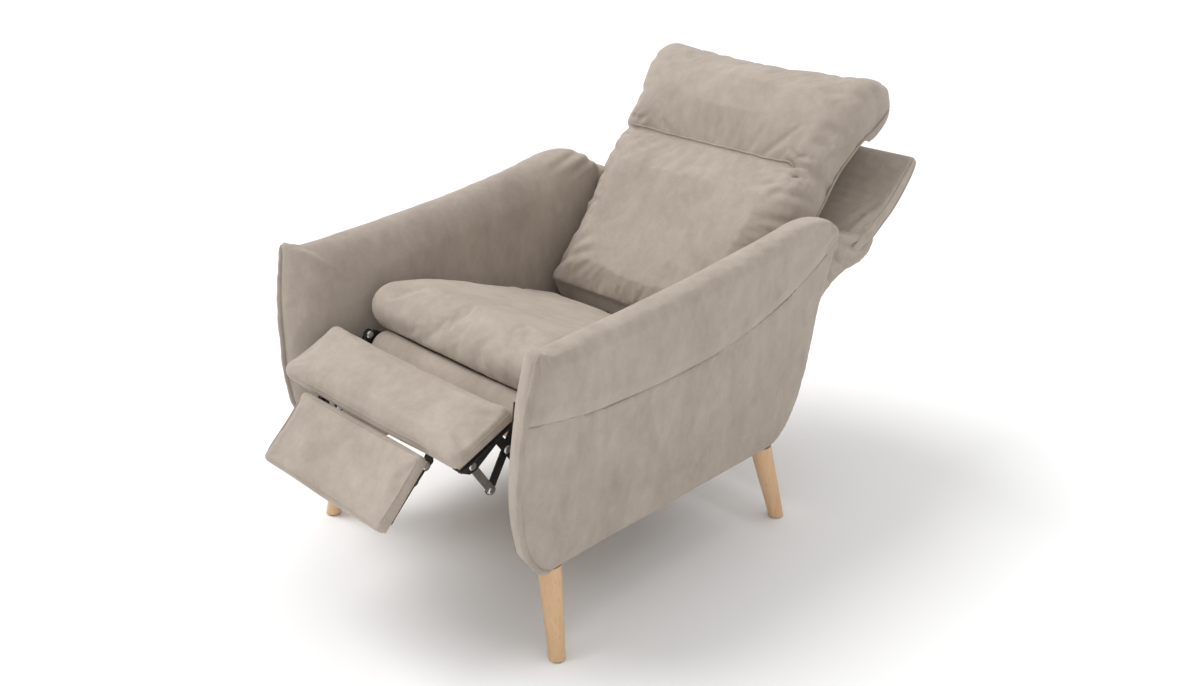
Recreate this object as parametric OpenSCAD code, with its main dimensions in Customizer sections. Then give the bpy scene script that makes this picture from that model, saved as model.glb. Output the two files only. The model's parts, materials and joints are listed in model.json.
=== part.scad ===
// Recliner armchair on splayed round legs, stored with its back down and its footrest out.
// The sitter faces -Y and +X is the sitter's left. Z is 0 on the floor.
// Side views are drawn as [y, z] with z measured from the underside of the arms.

/* [Overall] */
// Width over the tops of the arms
overall_w = 750; // [690:2:900]
// Height of the underside of the arms above the floor
leg_h = 178; // [150:1:220]

/* [Arms] */
// Height of the front top corner of an arm above its underside
arm_h = 457; // [400:1:480]
// Thickness of a padded arm
arm_t = 74; // [62:1:88]
// Outward lean of an arm, in degrees
arm_lean = 4.6; // [2:0.1:6]
// Thickness of the upholstered outer side panel
side_panel_t = 10; // [6:1:14]
// Thickness of the plywood board in an arm
side_board_t = 20; // [15:1:24]

/* [Legs] */
// Radius of a leg at the top
leg_r_top = 23; // [19:0.5:25]
// Radius of a leg at the foot
leg_r_foot = 15.5; // [12:0.5:18]
// Distance from an arm's outer face to the centre of a leg's top
leg_inset = 28; // [26:1:34]
// Thickness of the glide under each leg
glide_t = 3; // [2:0.5:6]

/* [Seat] */
// Backward slope of the seat, in degrees
seat_slope = 19.5; // [16:0.5:22]
// Width of the seat cushion
seat_w = 526; // [440:2:680]
// Length of the seat cushion along its slope
seat_l = 516; // [480:2:524]
// Thickness of the seat cushion
seat_t = 105; // [85:1:120]
// Height of the seat's wooden rails
seat_rail_h = 42; // [32:1:48]

/* [Back] */
// Lean of the back from upright, in degrees
back_lean = 41; // [36:0.5:44]
// Length of the back cushion
back_l = 668; // [560:2:800]
// Thickness of the back cushion at the lumbar
back_t = 116; // [90:1:130]
// Width of the back cushion
back_w = 556; // [460:2:580]
// Thickness of the padded outer back
shell_t = 32; // [24:1:38]
// Width of the padded outer back
shell_w = 700; // [620:2:740]

/* [Footrest] */
// Width of the main footrest pad
footrest_w = 524; // [480:2:560]
// Length of the main footrest pad
footrest_l = 150; // [130:1:160]
// Thickness of the main footrest pad with its board
footrest_t = 42; // [34:1:46]
// Downward slope of the main footrest pad, in degrees
footrest_slope = 22; // [18:0.5:26]
// Width of the flap pad
flap_w = 360; // [300:2:380]
// Length of the flap pad
flap_l = 150; // [120:1:155]
// Thickness of the flap pad
flap_t = 28; // [22:1:32]
// Slope of the flap pad below the footrest's own slope, in degrees
flap_slope = 24; // [20:0.5:28]

/* [Mechanism] */
// Thickness of the flat steel links and plates
steel_t = 3; // [2.5:0.1:3.5]
// Gap between neighbouring links
link_gap = 1; // [0.6:0.1:1.4]
// Width of a flat link
link_w = 20; // [16:0.5:22]
// Radius of a link's pivot pin
pin_r = 4; // [3:0.1:4.5]
// Radial clearance of a pin in its hole
pin_clear = 0.05; // [0.02:0.01:0.1]
// Half the width of the seat between its steel side plates
plate_x = 219; // [180:1:222]
// Radius of the two bolts the seat tilts on
tilt_r = 6; // [5:0.5:8]

/* [Hidden] */
$fn = 48;

cover = "#a89a8c";
wood = "#d9b385";
board = "#c9a877";
black = "#1c1c1e";
zinc = "#b9bcc0";
gap = 0.5;                 // clearance between soft parts and what they lie on
half_w = overall_w / 2;
foot_x = half_w - arm_h * tan(arm_lean);   // outer face of an arm at its underside

// ---- side view of an arm ----
function bezier(a, b, c, d, n) =
    [for (i = [0 : n - 1]) let (t = i / n, s = 1 - t)
        s * s * s * a + 3 * s * s * t * b + 3 * s * t * t * c + t * t * t * d];
arm_front_y = -505;
arm_rear_y = 352;
arm_top = arm_h + 33;
arm_outline = concat(
    bezier([-420, 0], [-468, 0], [arm_front_y, 90], [arm_front_y, 190], 8),
    bezier([arm_front_y, 190], [arm_front_y, 300], [-487, 390], [-473, arm_h], 6),
    bezier([-473, arm_h], [-462, arm_h - 6], [-452, arm_h - 13], [-430, arm_h - 13], 3),
    bezier([-430, arm_h - 13], [-250, arm_h - 6], [-50, arm_h + 4], [150, arm_top], 6),
    bezier([150, arm_top], [230, arm_top + 11], [318, arm_top + 18],
           [arm_rear_y, arm_top - 38], 8),
    bezier([arm_rear_y, arm_top - 38], [340, 380], [322, 330], [316, 270], 4),
    bezier([316, 270], [312, 180], [296, 0], [200, 0], 10));
// curved seam between the arm's top band and its side panel
seam = concat(
    bezier([-540, 352], [-430, 305], [-290, 300], [-130, 313], 8),
    bezier([-130, 313], [50, 328], [250, 366], [400, 480], 8));

// ---- seat, in its own plane: u runs back, w runs up ----
seat_at = [-130, 194];
seat_back_u = 245;
nose_u = seat_back_u - seat_l + 49;   // where the cushion's rounded front begins
rail_front_u = -232;
rail_t = 24;
seat_in = 26;              // from the side plates in to the cushion's rail faces
tilt_at = [-60, 27];

// ---- back, in its own plane: y runs back, z runs up the back ----
hinge_at = [185, 167];
lumbar_y = 2;              // rear face of the back cushion
shell_foot = 330;          // where the wide outer back starts
shell_top = 590;

// ---- footrest linkage: side view of its pivots ----
lift_at = [-385, 275];
cross_at = [-425, 208];
knee_at = [-465, 142];
rest_at = [-452, 247];
control_at = [-508, 210];
guide_at = [-391, 158];
lift_turn = 56;            // how far a lift link turns to fold the footrest
cross_turn = 16;           // how much further a cross link turns
footrest_at = [-436, 314]; // rear top edge of the footrest pad
flap_pivot = [150, -64];   // in the footrest's own plane, from that edge
flap_at = [156, -20];      // rear top edge of the flap
board_t = 9;
slot_play = 0.6;           // clearance of the guide pin in its curved slot
open_play = 0.6;           // clearance of the one pivot that closes the loop

function turned(p, about, a) =
    let (v = p - about) about + [v.x * cos(a) - v.y * sin(a), v.x * sin(a) + v.y * cos(a)];
// where the guide pin stands when the footrest is folded by a share of its travel
function guide_path(k) =
    let (c = turned(cross_at, lift_at, k * lift_turn))
    let (v = guide_at - cross_at, a = k * (lift_turn + cross_turn))
    c + [v.x * cos(a) - v.y * sin(a), v.x * sin(a) + v.y * cos(a)];

// x of each layer of steel, from the seat plate outwards
head_room = 3;
function layer(n) = plate_x + (n > 0 ? head_room : 0) + n * (steel_t + link_gap);

// ---- placing ----
module raised() { translate([0, 0, leg_h]) children(); }
module side(x0, t) { translate([x0, 0, 0]) rotate([90, 0, 90]) linear_extrude(t) children(); }
module both() {
    children();
    mirror([1, 0, 0]) children();
}
// an arm's own frame: x is 0 on its outer face and negative inwards
module in_arm() { raised() translate([foot_x, 0, 0]) rotate([0, arm_lean, 0]) children(); }
module in_seat() { raised() translate([0, seat_at.x, seat_at.y]) rotate([-seat_slope, 0, 0]) children(); }
module in_back() { raised() translate([0, hinge_at.x, hinge_at.y]) rotate([-back_lean, 0, 0]) children(); }
module in_footrest() {
    raised() translate([0, footrest_at.x, footrest_at.y]) rotate([footrest_slope, 0, 0]) children();
}
module in_flap() {
    in_footrest() translate([0, -flap_at.x, flap_at.y]) rotate([flap_slope, 0, 0]) children();
}

// ---- shared shapes ----
// a flat bar with round ends that are a little wider than it
module bar2d(a, b, w, bar = 0.88) {
    translate(a) circle(d = w);
    translate(b) circle(d = w);
    translate(a) rotate(atan2(b.y - a.y, b.x - a.x)) translate([0, -w * bar / 2]) square([norm(b - a), w * bar]);
}
module hole2d(at, r) { translate(at) circle(r = r); }
// a pin along X with a round head at each end
module pin(at, x0, x1, r, head) {
    translate([x0, at.x, at.y]) rotate([0, 90, 0]) cylinder(r = r, h = x1 - x0);
    translate([x1, at.x, at.y]) rotate([0, 90, 0]) cylinder(r1 = head, r2 = head * 0.75, h = 2.2);
    translate([x0 - 2.2, at.x, at.y]) rotate([0, 90, 0]) cylinder(r1 = head * 0.75, r2 = head, h = 2.2);
}
// a box with rounded edges along X
module soft_bar(w, y0, y1, z0, z1, r) {
    translate([-w / 2, 0, 0]) rotate([90, 0, 90]) linear_extrude(w) round2d(y0, y1, z0, z1, r);
}
module round2d(y0, y1, z0, z1, r) {
    translate([y0 + r, z0]) square([y1 - y0 - 2 * r, z1 - z0]);
    translate([y0, z0 + r]) square([y1 - y0, z1 - z0 - 2 * r]);
    for (y = [y0 + r, y1 - r], z = [z0 + r, z1 - r]) translate([y, z]) circle(r = r);
}

// ---- legs and stationary frame ----
plate_t = 2;               // steel disc between an arm and its leg
bolt_r = 4;                // hanger bolt that holds a leg
leg_tops = [-403, 207];    // y of the legs under the arms
seam_turn = 200;           // turns a leg's cone about its own axis
function arm_point(x, y, z) =
    [foot_x + x * cos(arm_lean) + z * sin(arm_lean), y, leg_h - x * sin(arm_lean) + z * cos(arm_lean)];
module leg_cone(foot, top) {
    v = top - foot;
    len = norm(v);
    more = 15;
    k = (leg_r_top - leg_r_foot) / len;
    translate(foot) rotate([0, acos(v.z / len), atan2(v.y, v.x)])
        rotate([0, 0, seam_turn]) translate([0, 0, -more])
            cylinder(r1 = leg_r_foot - more * k, r2 = leg_r_top + more * k, h = len + 2 * more);
}
module leg(foot, top_y) {
    color(wood) difference() {
        intersection() {
            leg_cone(foot, arm_point(-leg_inset, top_y, -plate_t));
            translate([0, -600, glide_t]) cube([600, 1200, leg_h + 60]);
            in_arm() translate([-300, -600, -400]) cube([600, 1200, 400 - plate_t]);
        }
        hanger_bolt(top_y, bolt_r + pin_clear);
    }
}
foot_front = [foot_x + 15, -427, 0];
foot_rear = [foot_x + 1, 242, 0];
module hanger_bolt(y, r) { in_arm() translate([-leg_inset, y, -36]) cylinder(r = r, h = 62); }
module leg_front_left() { leg(foot_front, leg_tops[0]); }
module leg_front_right() { mirror([1, 0, 0]) leg_front_left(); }
module leg_rear_left() { leg(foot_rear, leg_tops[1]); }
module leg_rear_right() { mirror([1, 0, 0]) leg_rear_left(); }
module foot_glides() {
    color("#6b6b6b") both() for (f = [foot_front, foot_rear]) translate(f) cylinder(r = leg_r_foot - 3, h = glide_t);
}
module leg_plates() {
    color(black) both() for (y = leg_tops) difference() {
        in_arm() translate([-leg_inset, y, -plate_t]) cylinder(r = leg_r_top - 3, h = plate_t);
        hanger_bolt(y, bolt_r + pin_clear);
    }
}
module hanger_bolts() { color(zinc) both() for (y = leg_tops) hanger_bolt(y, bolt_r); }

board_x = -leg_inset - side_board_t / 2;
module board_solid() {
    in_arm() side(board_x, side_board_t)
        polygon([[-420, 0], [-460, 60], [-480, 180], [-464, 320], [-444, arm_h - 37], [150, arm_h - 4],
                 [290, arm_h + 4], [300, 300], [285, 120], [240, 30], [200, 0]]);
}
module side_board_left() {
    color(board) difference() {
        board_solid();
        for (y = leg_tops) hanger_bolt(y, bolt_r + pin_clear);
    }
}
module side_board_right() { mirror([1, 0, 0]) side_board_left(); }

// a rail that runs across the chair between the two side boards
module cross_rail(y0, y1, z0, z1) {
    difference() {
        raised() translate([-half_w, y0, z0]) cube([overall_w, y1 - y0, z1 - z0]);
        both() in_arm() translate([board_x, -700, -200]) cube([400, 1400, 900]);
    }
}
rail_y = [-165, 150];
cross_t = 25;
cross_z = [14, 64];
module front_rail_solid() { cross_rail(rail_y[0], rail_y[0] + cross_t, cross_z[0], cross_z[1]); }
module rear_rail_solid() { cross_rail(rail_y[1], rail_y[1] + cross_t, cross_z[0], cross_z[1]); }
module front_cross_rail() {
    color(wood) difference() {
        front_rail_solid();
        base_bolt_shanks(bolt_r + pin_clear);
    }
}
module rear_cross_rail() {
    color(wood) difference() {
        rear_rail_solid();
        base_bolt_shanks(bolt_r + pin_clear);
    }
}
module rear_top_rail() { color(wood) cross_rail(258, 282, 150, 190); }

// ---- arms ----
module below_seam() { polygon(concat(seam, [[400, -50], [-560, -50]])); }
module panel2d() {
    intersection() {
        polygon(arm_outline);
        below_seam();
    }
}
panel_drop = 2;            // how far a side panel lies behind the arm's outer face
module arm_left() {
    color(cover) difference() {
        in_arm() side(-arm_t, arm_t) polygon(arm_outline);
        in_arm() side(-side_panel_t, side_panel_t + 1) panel2d();
        board_solid();
        front_rail_solid();
        rear_rail_solid();
        rear_top_rail();
        for (y = leg_tops) hanger_bolt(y, bolt_r + pin_clear);
    }
}
module arm_right() { mirror([1, 0, 0]) arm_left(); }
module side_panel_left() { color(cover) in_arm() side(-side_panel_t, side_panel_t - panel_drop) panel2d(); }
module side_panel_right() { mirror([1, 0, 0]) side_panel_left(); }

rear_t = 14;
rear_line = bezier([308, 244], [305, 170], [292, 8], [214, 8], 12);
module rear_panel() {
    color(cover) difference() {
        raised() side(-half_w, overall_w)
            polygon(concat(rear_line, [for (i = [len(rear_line) - 1 : -1 : 0]) rear_line[i] + [-rear_t, rear_t * 0.4]]));
        both() in_arm() translate([-arm_t, -700, -200]) cube([400, 1400, 900]);
    }
}

// ---- base plates that carry the tilting seat ----
flange_w = 26;
module base_bolt_shanks(r) {
    both() raised() for (z = [30, 50], y = [rail_y[0] - 6, rail_y[1] - 10])
        translate([layer(1) + 15, y, z]) rotate([-90, 0, 0]) cylinder(r = r, h = cross_t + 16);
}
module base_plate_left() {
    y0 = rail_y[0] + cross_t;
    y1 = rail_y[1];
    color(black) difference() {
        raised() {
            side(layer(1), steel_t) difference() {
                polygon([[y0, 12], [y1, 12], [y1, 62], [40, 62], [-20, 50], [-100, 50], [y0, 62]]);
                hole2d(tilt_at, tilt_r + pin_clear);
            }
            for (y = [y0, y1 - steel_t]) translate([layer(1), y, 16]) cube([flange_w, steel_t, 46]);
        }
        base_bolt_shanks(bolt_r + pin_clear);
    }
}
module base_plate_right() { mirror([1, 0, 0]) base_plate_left(); }
module base_bolts() {
    color(zinc) {
        base_bolt_shanks(bolt_r);
        both() raised() for (z = [30, 50]) translate([layer(1) + 15, 0, z]) {
            for (y = [rail_y[0] - 6, rail_y[0] + cross_t + steel_t, rail_y[1] - steel_t - 5, rail_y[1] + cross_t])
                translate([0, y, 0]) rotate([-90, 0, 0]) difference() {
                    cylinder(r = 7, h = y > 0 ? 5 : 6);
                    translate([0, 0, -1]) cylinder(r = bolt_r - 0.5, h = 9);
                }
        }
    }
}
module tilt_bolts() {
    color(zinc) both() raised() pin(tilt_at, plate_x, layer(1) + steel_t, tilt_r, tilt_r * 1.7);
}

// ---- seat ----
function seat_point(u, w) =
    seat_at + u * [cos(seat_slope), -sin(seat_slope)] + w * [sin(seat_slope), cos(seat_slope)];
strap_t = 2.5;
rail_in = plate_x - seat_in;
screw_u = [-190, -60, 60, 200];
module plate_screw_shanks(r) {
    both() raised() for (u = screw_u) translate([plate_x - 16, seat_point(u, -seat_rail_h / 2).x,
        seat_point(u, -seat_rail_h / 2).y]) rotate([0, 90, 0]) cylinder(r = r, h = 16 + steel_t);
}
module seat_side_rails() {
    color(wood) difference() {
        both() in_seat() translate([rail_in, rail_front_u, -seat_rail_h])
            cube([seat_in, seat_back_u - rail_front_u, seat_rail_h]);
        plate_screw_shanks(2.5 + pin_clear);
    }
}
module seat_end_rail(u) {
    color(wood) in_seat() translate([-rail_in, u, -seat_rail_h]) cube([2 * rail_in, rail_t, seat_rail_h]);
}
module seat_front_rail() { seat_end_rail(rail_front_u); }
module seat_rear_rail() { seat_end_rail(seat_back_u - rail_t); }
module front_pad() {
    color(cover) in_seat() side(5 - plate_x, 2 * plate_x - 10)
        polygon(concat([[rail_front_u - gap, -58], [rail_front_u - gap, 1]],
            bezier([rail_front_u - 8, 1], [-262, 1], [-276, -24], [-270, -58], 6), [[-268, -61], [-250, -62]]));
}
module seat_webbing() {
    color("#3b3733") for (u = [-150, -50, 50, 150]) in_seat()
        translate([-plate_x + 4, u - 30, 0]) cube([2 * plate_x - 8, 60, strap_t]);
}
module seat_cushion() {
    color(cover) in_seat() side(-seat_w / 2, seat_w)
        polygon(concat([[seat_back_u - 6, strap_t + gap]],
            bezier([nose_u, strap_t + gap], [nose_u - 65, strap_t + 4], [nose_u - 69, seat_t - 6],
                   [nose_u, seat_t], 12),
            [[nose_u + 72, seat_t + 2], [0, seat_t + 1], [seat_back_u - 20, seat_t - 2],
             [seat_back_u, seat_t - 20]]));
}
plate_outline = [[-399, 262], [-396, 286], seat_point(-256, 1), seat_point(-220, -6), seat_point(190, -4),
    seat_point(seat_back_u + 4, -4), [118, 138], [172, 180], [192, 181], [200, 170], [199, 158],
    [186, 146], seat_point(230, -seat_rail_h), seat_point(60, -seat_rail_h - 8),
    [-36, 40], [-38, 22], [-60, 8], [-82, 22], [-84, 40], [-120, 92], [-262, 150], [-290, 182], [-345, 146],
    [-395, 140], [-402, 150], [-402, 176]];
// the curved slot that guides the cross links, with its width measured across the pin's path
module guide_slot() {
    n = 10;
    r = pin_r + slot_play;
    path = [for (i = [0 : n]) guide_path(i / n)];
    across = [for (i = [0 : n]) let (d = path[min(i + 1, n)] - path[max(i - 1, 0)]) [-d.y, d.x] / norm(d) * (r - 0.15)];
    polygon(concat([for (i = [0 : n]) path[i] + across[i]], [for (i = [n : -1 : 0]) path[i] - across[i]]));
    translate(path[0]) circle(r = r);
    translate(path[n]) circle(r = r);
}
module plate2d() {
    difference() {
        polygon(plate_outline);
        hole2d(lift_at, pin_r + pin_clear);
        hole2d(hinge_at, pin_r + 1 + pin_clear);
        hole2d(tilt_at, tilt_r + pin_clear);
        guide_slot();
    }
}
module seat_plate_left() {
    color(black) difference() {
        raised() side(plate_x, steel_t) plate2d();
        plate_screw_shanks(2.5 + pin_clear);
    }
}
module seat_plate_right() { mirror([1, 0, 0]) seat_plate_left(); }
module plate_screws() {
    color(zinc) {
        plate_screw_shanks(2.5);
        both() raised() for (u = screw_u) translate([plate_x + steel_t, seat_point(u, -seat_rail_h / 2).x,
            seat_point(u, -seat_rail_h / 2).y]) rotate([0, 90, 0]) cylinder(r1 = 5.5, r2 = 4, h = 2.2);
    }
}
tube_at = [-110, 112];
module cross_tube() {
    color(black) raised() translate([-plate_x, tube_at.x, tube_at.y]) rotate([0, 90, 0]) difference() {
        cylinder(r = 11, h = 2 * plate_x);
        translate([0, 0, -1]) cylinder(r = 9, h = 2 * plate_x + 2);
    }
}
module lift_pins() { color(zinc) both() raised() pin(lift_at, plate_x, layer(1) + steel_t, pin_r, 8); }
module back_hinge_pins() {
    color(zinc) both() raised() pin(hinge_at, plate_x, layer(1) + steel_t, pin_r + 1, 9);
}

// ---- back ----
frame_y = [4, 24];
stile_z = [32, 556];
stile_in = layer(1) - 32;
module back_beam(x0, x1, z0, z1) {
    in_back() translate([x0, frame_y[0], z0]) cube([x1 - x0, frame_y[1] - frame_y[0], z1 - z0]);
}
hanger_y = 16;
hanger_screw_z = [60, 110, 170];
module hanger_screws(r) {
    both() for (z = hanger_screw_z) in_back() translate([layer(1) - 14, hanger_y, z]) rotate([0, 90, 0])
        cylinder(r = r, h = 14 + steel_t);
}
module back_stiles() {
    color(wood) difference() {
        both() back_beam(stile_in, layer(1), stile_z[0], stile_z[1]);
        hanger_screws(2.5 + pin_clear);
    }
}
module back_top_rail() { color(wood) back_beam(-stile_in, stile_in, stile_z[1] - 45, stile_z[1]); }
module back_low_rail() { color(wood) back_beam(-stile_in, stile_in, stile_z[0] + 4, stile_z[0] + 44); }
module back_webbing() {
    color("#3b3733") for (z = [110, 190, 270, 350, 430]) in_back()
        translate([-layer(1) + 4, lumbar_y + gap, z]) cube([2 * layer(1) - 8, frame_y[0] - lumbar_y - gap, 50]);
}
module back_cushion() {
    front = lumbar_y - back_t;
    top = back_l;
    color(cover) in_back() intersection() {
        side(-back_w / 2, back_w) polygon(concat(
            [[lumbar_y - 28, 6], [lumbar_y, 58], [lumbar_y, stile_z[1] + 8], [42, stile_z[1] + 14], [52, top - 48]],
            bezier([52, top - 36], [54, top + 4], [-8, top + 12], [-50, top + 8], 6),
            bezier([-50, top + 8], [-96, top], [front, top - 40], [front, top - 110], 6),
            bezier([front, 54], [front, 28], [-104, 17.5], [-84, 17.5], 5),
            [[-84, 17.5], [-66, 8]]));
        rotate([90, 0, 0]) translate([0, 0, -200]) linear_extrude(500)
            polygon([[-back_w / 2 + 26, 0], [back_w / 2 - 26, 0], [back_w / 2, 330], [back_w / 2, 900],
                     [-back_w / 2, 900], [-back_w / 2, 330]]);
    }
}
module back_shell() {
    rear = concat(bezier([74, shell_foot], [96, 390], [130, 450], [130, 520], 6),
                  bezier([130, 520], [131, 560], [129, shell_top - 6], [114, shell_top], 4));
    front = bezier([130 - shell_t, shell_top - 8], [130 - shell_t, 500], [70, 410], [74 - shell_t, shell_foot], 7);
    color(cover) in_back() {
        side(-shell_w / 2, shell_w) polygon(concat(rear, [[114, shell_top]], front, [[74 - shell_t, shell_foot]]));
        side(-250, 500) polygon([[60, 206], [66, 240], [74, shell_foot], [74 - shell_t, shell_foot],
                                 [38, 260], [38, 206]]);
    }
}
module back_hanger_left() {
    color(black) difference() {
        in_back() side(layer(1), steel_t) difference() {
            union() {
                bar2d([0, 0], [hanger_y, 44], 30);
                bar2d([hanger_y, 44], [hanger_y, 184], 26);
            }
            hole2d([0, 0], pin_r + 1 + pin_clear);
        }
        hanger_screws(2.5 + pin_clear);
    }
}
module back_hanger_right() { mirror([1, 0, 0]) back_hanger_left(); }
module back_screws() {
    color(zinc) {
        hanger_screws(2.5);
        both() for (z = hanger_screw_z) in_back() translate([layer(1) + steel_t, hanger_y, z]) rotate([0, 90, 0])
            cylinder(r1 = 5.5, r2 = 4, h = 2.2);
    }
}

// ---- footrest linkage ----
module link2d(points, holes) {
    difference() {
        union() for (i = [0 : len(points) - 2]) bar2d(points[i], points[i + 1], link_w);
        for (h = holes) hole2d(h, pin_r + pin_clear);
    }
}
module lift_link_left() {
    color(black) raised() side(layer(1), steel_t) link2d([lift_at, knee_at], [lift_at, cross_at, knee_at]);
}
module lift_link_right() { mirror([1, 0, 0]) lift_link_left(); }
module cross_link_left() {
    color(black) raised() side(layer(2), steel_t)
        link2d([guide_at, cross_at, rest_at], [guide_at, cross_at, rest_at]);
}
module cross_link_right() { mirror([1, 0, 0]) cross_link_left(); }
module control_link_left() {
    color(zinc) raised() side(layer(2), steel_t) difference() {
        bar2d(knee_at, control_at, link_w - 2);
        hole2d(knee_at, pin_r + pin_clear);
        hole2d(control_at, pin_r + open_play);
    }
}
module control_link_right() { mirror([1, 0, 0]) control_link_left(); }
module knee_pins() {
    color(zinc) both() raised() {
        pin(cross_at, layer(1), layer(2) + steel_t, pin_r, 8);
        pin(knee_at, layer(1), layer(2) + steel_t, pin_r, 8);
    }
}
module guide_pins() {
    color(zinc) both() raised() {
        pin_x = plate_x + 0.5;
        translate([pin_x, guide_at.x, guide_at.y]) rotate([0, 90, 0])
            cylinder(r = pin_r, h = layer(2) + steel_t - pin_x);
        translate([layer(2) + steel_t, guide_at.x, guide_at.y]) rotate([0, 90, 0]) cylinder(r1 = 8, r2 = 6, h = 2.2);
    }
}

// ---- footrest: y is minus the distance from its rear edge, z is 0 on its top ----
bracket_s = [10, 140];
module footrest_bracket_left() {
    under = -footrest_t;
    color(black) {
        difference() {
            in_footrest() side(layer(3), steel_t)
                polygon([[-bracket_s[0], under], [-bracket_s[1], under], [-134, under - 18], [-118, under - 37],
                         [-102, under - 40], [-40, under - 26], [-26, under - 20]]);
            raised() side(layer(3) - 1, steel_t + 2) {
                hole2d(rest_at, pin_r + pin_clear);
                hole2d(control_at, pin_r + pin_clear);
            }
        }
        in_footrest() translate([layer(3), -bracket_s[1], under - steel_t])
            cube([24, bracket_s[1] - bracket_s[0], steel_t]);
    }
}
module footrest_bracket_right() { mirror([1, 0, 0]) footrest_bracket_left(); }
module footrest_pins() {
    color(zinc) both() {
        raised() {
            pin(rest_at, layer(2), layer(3) + steel_t, pin_r, 8);
            pin(control_at, layer(2), layer(3) + steel_t, pin_r, 8);
        }
        in_footrest() pin([-flap_pivot.x, flap_pivot.y], flap_arm_x, flap_arm_x + 2 * steel_t + link_gap, pin_r, 8);
    }
}
module footrest_board() {
    color(board) in_footrest() translate([-footrest_w / 2 + 12, -footrest_l + 13, -footrest_t])
        cube([footrest_w - 24, footrest_l - 21, board_t]);
}
module footrest_pad() {
    color(cover) in_footrest() soft_bar(footrest_w, -footrest_l, 0, -footrest_t + board_t, 0, 14);
}
flap_arm_x = 156;
module flap_brackets() {
    x0 = flap_arm_x + steel_t + link_gap;
    color(black) both() in_footrest() {
        side(x0, steel_t) difference() {
            union() {
                polygon([[-104, -footrest_t], [-136, -footrest_t], [-160, flap_pivot.y + 6], [-148, flap_pivot.y - 9],
                         [-128, -footrest_t - 18]]);
                translate([-flap_pivot.x, flap_pivot.y]) circle(d = link_w);
            }
            hole2d([-flap_pivot.x, flap_pivot.y], pin_r + pin_clear);
        }
        translate([x0, -136, -footrest_t - steel_t]) cube([22, 32, steel_t]);
    }
}
// the flap pivot in the flap's own plane
flap_v = flap_pivot - flap_at;
flap_pin = [-(flap_v.x * cos(flap_slope) - flap_v.y * sin(flap_slope)),
            flap_v.x * sin(flap_slope) + flap_v.y * cos(flap_slope)];
module flap_arms() {
    y1 = -24;
    color(black) both() in_flap() {
        side(flap_arm_x, steel_t) difference() {
            union() {
                bar2d(flap_pin, [-46, -flap_t - 13], 20);
                bar2d([-46, -flap_t - 13], [-124, -flap_t - 11], 16);
                polygon([[y1, -flap_t - steel_t], [-138, -flap_t - steel_t], [-130, -flap_t - 14], [y1 - 8, -flap_t - 14]]);
                bar2d(flap_pin, flap_pin + [10, -7], 15);
            }
            hole2d(flap_pin, pin_r + pin_clear);
        }
        translate([flap_arm_x - 24, -138, -flap_t - steel_t]) cube([24 + steel_t, 138 + y1, steel_t]);
    }
}
module flap_board() {
    color(board) in_flap() translate([-flap_w / 2 + 5, -flap_l + 5, -flap_t]) cube([flap_w - 10, flap_l - 10, board_t]);
}
module flap_pad() { color(cover) in_flap() soft_bar(flap_w, -flap_l, 0, board_t - flap_t, 0, 6); }

leg_front_left();
leg_front_right();
leg_rear_left();
leg_rear_right();
foot_glides();
leg_plates();
hanger_bolts();
side_board_left();
side_board_right();
arm_left();
arm_right();
side_panel_left();
side_panel_right();
front_cross_rail();
rear_cross_rail();
rear_top_rail();
base_plate_left();
base_plate_right();
base_bolts();
tilt_bolts();
rear_panel();
seat_side_rails();
seat_front_rail();
seat_rear_rail();
front_pad();
seat_webbing();
seat_cushion();
seat_plate_left();
seat_plate_right();
plate_screws();
cross_tube();
lift_pins();
back_hinge_pins();
back_stiles();
back_top_rail();
back_low_rail();
back_webbing();
back_cushion();
back_shell();
back_hanger_left();
back_hanger_right();
back_screws();
lift_link_left();
lift_link_right();
knee_pins();
cross_link_left();
cross_link_right();
guide_pins();
control_link_left();
control_link_right();
footrest_bracket_left();
footrest_bracket_right();
footrest_pins();
footrest_board();
footrest_pad();
flap_brackets();
flap_arms();
flap_board();
flap_pad();
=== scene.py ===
# Recliner armchair in a soft taupe microfibre, back down and footrest out.
# Everything is in metres in the chair's own frame: the sitter faces -Y and +X is the sitter's left.
import json
import math

import bmesh
import bpy
import numpy as np
from mathutils import Matrix, Vector
from mathutils.bvhtree import BVHTree


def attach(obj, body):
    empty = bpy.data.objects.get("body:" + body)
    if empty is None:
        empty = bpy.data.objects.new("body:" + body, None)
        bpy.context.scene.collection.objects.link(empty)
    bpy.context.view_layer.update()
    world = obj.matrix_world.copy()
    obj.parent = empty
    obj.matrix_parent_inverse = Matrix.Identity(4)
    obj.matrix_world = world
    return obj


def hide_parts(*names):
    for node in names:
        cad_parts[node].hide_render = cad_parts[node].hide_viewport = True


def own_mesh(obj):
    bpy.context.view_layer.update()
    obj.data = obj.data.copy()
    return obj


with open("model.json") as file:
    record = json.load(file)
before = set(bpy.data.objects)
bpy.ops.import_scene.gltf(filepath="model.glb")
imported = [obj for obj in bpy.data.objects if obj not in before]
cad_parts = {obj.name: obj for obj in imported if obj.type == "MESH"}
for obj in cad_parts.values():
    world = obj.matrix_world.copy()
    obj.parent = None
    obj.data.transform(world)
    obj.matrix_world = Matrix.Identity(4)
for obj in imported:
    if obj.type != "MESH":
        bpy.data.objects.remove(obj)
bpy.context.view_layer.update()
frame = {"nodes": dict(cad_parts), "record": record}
nodes = frame["nodes"]
print("chair frame loaded,", len(nodes), "parts")


underArms = 0.178                 # height of the underside of the arms
armLean = math.radians(4.6)
armHeight = 0.457
armX = 0.375 - armHeight * math.tan(armLean)      # outer face of an arm at its underside


def tilted(y, z, degrees):
    return Matrix.Translation((0, y, z + underArms)) @ Matrix.Rotation(math.radians(degrees), 4, "X")


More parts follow.
